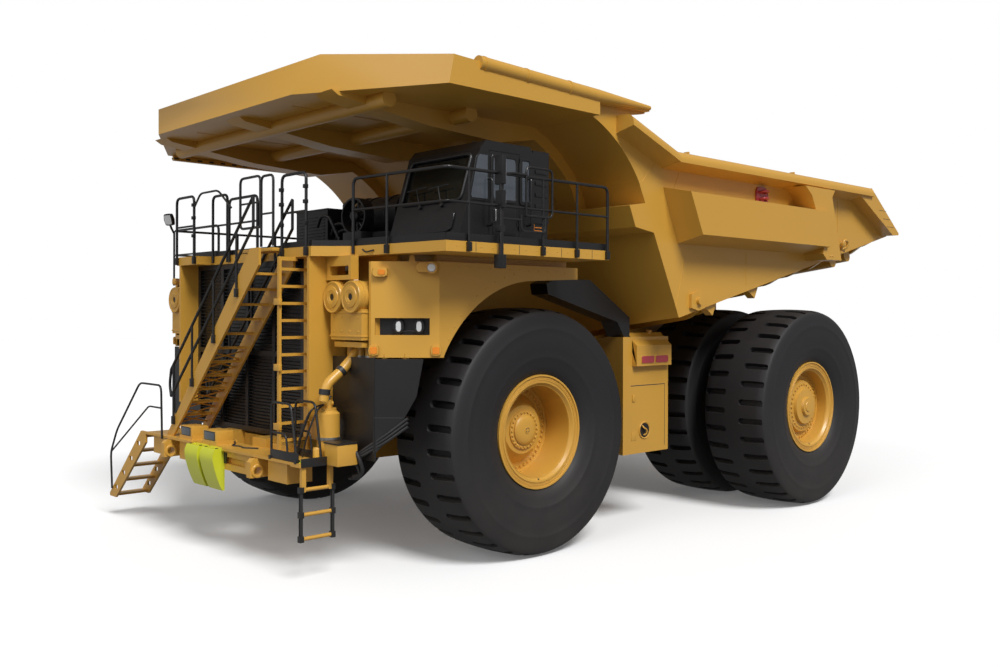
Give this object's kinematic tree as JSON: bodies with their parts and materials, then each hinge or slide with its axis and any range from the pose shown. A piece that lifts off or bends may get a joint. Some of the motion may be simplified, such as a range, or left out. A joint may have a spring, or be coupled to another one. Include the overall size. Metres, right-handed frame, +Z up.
{
  "type": "mining dump truck",
  "caption": "Rigid-frame mining dump truck with a tipping vee-floor bed, over-cab canopy, steered front wheels, twin rear wheels and hinged cab door.",
  "frame": {"origin": "on the ground, at the middle of the overall length and width", "axes": "+X forward, +Y to the driver's side, +Z up"},
  "size_m": [15.08, 9.755, 7.709],
  "materials": {
    "yellow": "semi-gloss ochre paint",
    "black": "satin black paint",
    "chrome_rod": "polished",
    "trim": "matte grey trim",
    "glass": "tinted",
    "tyre": "matte rubber",
    "chock": "gloss signal yellow"
  },
  "bodies": {
    "chassis": {"frame": "yellow", "front_bumper": "yellow", "front_struts": "yellow", "rear_struts": "yellow", "rear_axle": "yellow", "driveline": "black", "engine_block": "yellow", "radiator": "black", "radiator_frame": "yellow", "splash_guards": "black", "fender_left": "yellow", "fender_right": "yellow", "air_cleaners": "yellow", "fuel_tank": "yellow", "hydraulic_tank": "yellow", "deck": "yellow", "deck_floor": "black", "deck_cabinet": "black", "deck_mufflers": "black", "handrails": "black", "front_stairs": "yellow", "front_ladder": "yellow", "boarding_steps": "yellow", "side_platform": "yellow", "wheel_chocks": "chock", "cab_shell": "black", "cab_glass": "glass", "cab_interior": "trim", "cab_air_unit": "black"},
    "knuckle_left": {"knuckle_left": "yellow"},
    "knuckle_right": {"knuckle_right": "yellow"},
    "tie_rod": {"tie_rod": "yellow"},
    "wheel_front_left": {"front_tyre_left": "tyre", "front_rim_left": "yellow"},
    "wheel_front_right": {"front_tyre_right": "tyre", "front_rim_right": "yellow"},
    "wheels_rear_left": {"rear_tyres_left": "tyre", "rear_rims_left": "yellow"},
    "wheels_rear_right": {"rear_tyres_right": "tyre", "rear_rims_right": "yellow"},
    "cab_door": {"cab_door": "black", "cab_door_glass": "glass"},
    "bed": {"bed_floor": "yellow", "bed_front_wall": "yellow", "bed_side_left": "yellow", "bed_side_right": "yellow", "bed_canopy": "yellow"},
    "hoist_barrels": {"hoist_barrels": "yellow"},
    "hoist_stages": {"hoist_stages": "chrome_rod"},
    "hoist_rods": {"hoist_rods": "chrome_rod"}
  },
  "joints": [
    {"name": "steer", "type": "hinge", "parent": "chassis", "child": "knuckle_left", "pos_m": [3.599, 1.95, 2.014], "axis": [0, 0, 1], "range_deg": [-30, 30]},
    {"name": "steer_right", "type": "hinge", "parent": "chassis", "child": "knuckle_right", "pos_m": [3.599, -1.95, 2.014], "axis": [0, 0, 1], "range_deg": [-30, 30]},
    {"name": "tie_rod_swing", "type": "hinge", "parent": "knuckle_left", "child": "tie_rod", "pos_m": [2.649, 1.95, 1.2], "axis": [0, 0, 1], "range_deg": [-30, 30]},
    {"name": "roll_front_left", "type": "hinge", "parent": "knuckle_left", "child": "wheel_front_left", "pos_m": [3.599, 3.267, 2.014], "axis": [0, 1, 0], "continuous": true},
    {"name": "roll_front_right", "type": "hinge", "parent": "knuckle_right", "child": "wheel_front_right", "pos_m": [3.599, -3.267, 2.014], "axis": [0, 1, 0], "continuous": true},
    {"name": "roll_rear_left", "type": "hinge", "parent": "chassis", "child": "wheels_rear_left", "pos_m": [-3.596, 3.1165, 2.014], "axis": [0, 1, 0], "continuous": true},
    {"name": "roll_rear_right", "type": "hinge", "parent": "chassis", "child": "wheels_rear_right", "pos_m": [-3.596, -3.1165, 2.014], "axis": [0, 1, 0], "continuous": true},
    {"name": "bed_tip", "type": "hinge", "parent": "chassis", "child": "bed", "pos_m": [-5.05, 0, 3.25], "axis": [0, -1, 0], "range_deg": [0, 45]},
    {"name": "hoist_swing", "type": "hinge", "parent": "chassis", "child": "hoist_barrels", "pos_m": [-1.1, 0, 1.5], "axis": [0, -1, 0], "range_deg": [0, 10.99]},
    {"name": "hoist_stage_slide", "type": "slide", "parent": "hoist_barrels", "child": "hoist_stages", "axis": [-0.1607, 0, 0.987], "range_m": [0, 1.3511]},
    {"name": "hoist_rod_slide", "type": "slide", "parent": "hoist_stages", "child": "hoist_rods", "axis": [-0.1607, 0, 0.987], "range_m": [0, 1.3511]},
    {"name": "cab_door_swing", "type": "hinge", "parent": "chassis", "child": "cab_door", "pos_m": [4.374, 4.1663, 5.725], "axis": [0, 0, 1], "range_deg": [0, 55]}
  ],
  "couplings": [
    {"joint": "steer_right", "follows": "steer", "ratio": 1},
    {"joint": "tie_rod_swing", "follows": "steer", "ratio": -1},
    {"joint": "hoist_swing", "follows": "bed_tip", "ratio": 0.24409},
    {"joint": "hoist_stage_slide", "follows": "bed_tip", "m_per_rad": 1.7196},
    {"joint": "hoist_rod_slide", "follows": "bed_tip", "m_per_rad": 1.7196}
  ]
}
